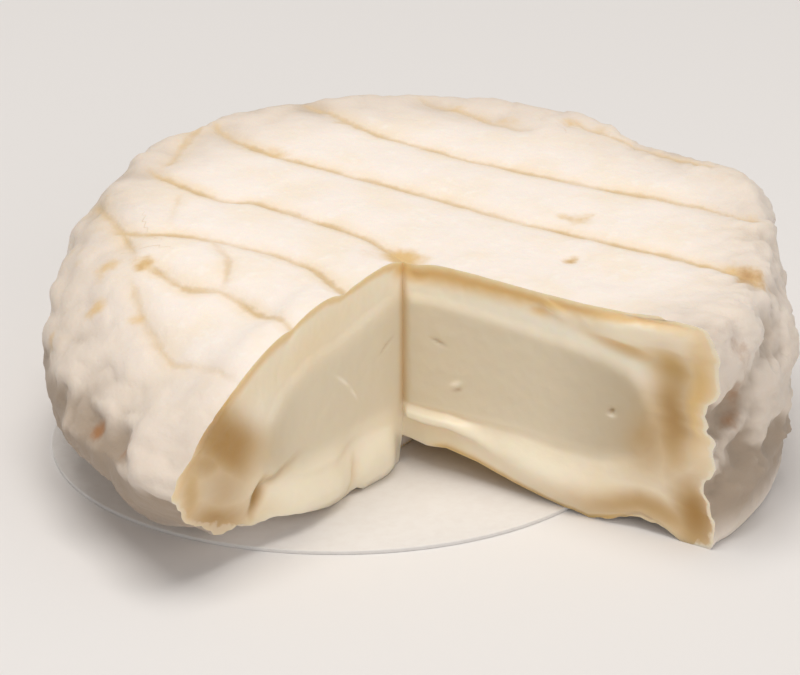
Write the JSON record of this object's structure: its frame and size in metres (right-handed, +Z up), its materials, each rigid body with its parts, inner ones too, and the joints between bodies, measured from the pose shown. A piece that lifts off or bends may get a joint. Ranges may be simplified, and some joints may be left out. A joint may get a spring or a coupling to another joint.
{
  "type": "pelardon goat cheese",
  "caption": "Small round soft-ripened goat cheese with a wrinkled white rind, rack grooves on top and a wedge cut out to show its firm heart, lying on a white card round",
  "frame": {"origin": "centre of the bounding box, on the surface the cheese and its card lie on", "axes": "+Z up; the notch opens towards -Y; the right-hand cut faces -X and -Y, the left-hand cut +X and -Y"},
  "size_m": [0.0713, 0.0708, 0.0228],
  "materials": {
    "rind_and_ripe_paste": "soft bloomy mould rind, matt white with ochre grooves, over glossy ivory ripe paste",
    "firm_paste": "matt, fine-grained, chalky goat cheese paste",
    "white_card": "smooth white food card"
  },
  "bodies": {
    "root": {"ripe_paste_and_rind": "rind_and_ripe_paste", "firm_heart": "firm_paste", "card_round": "white_card"}
  },
  "joints": []
}
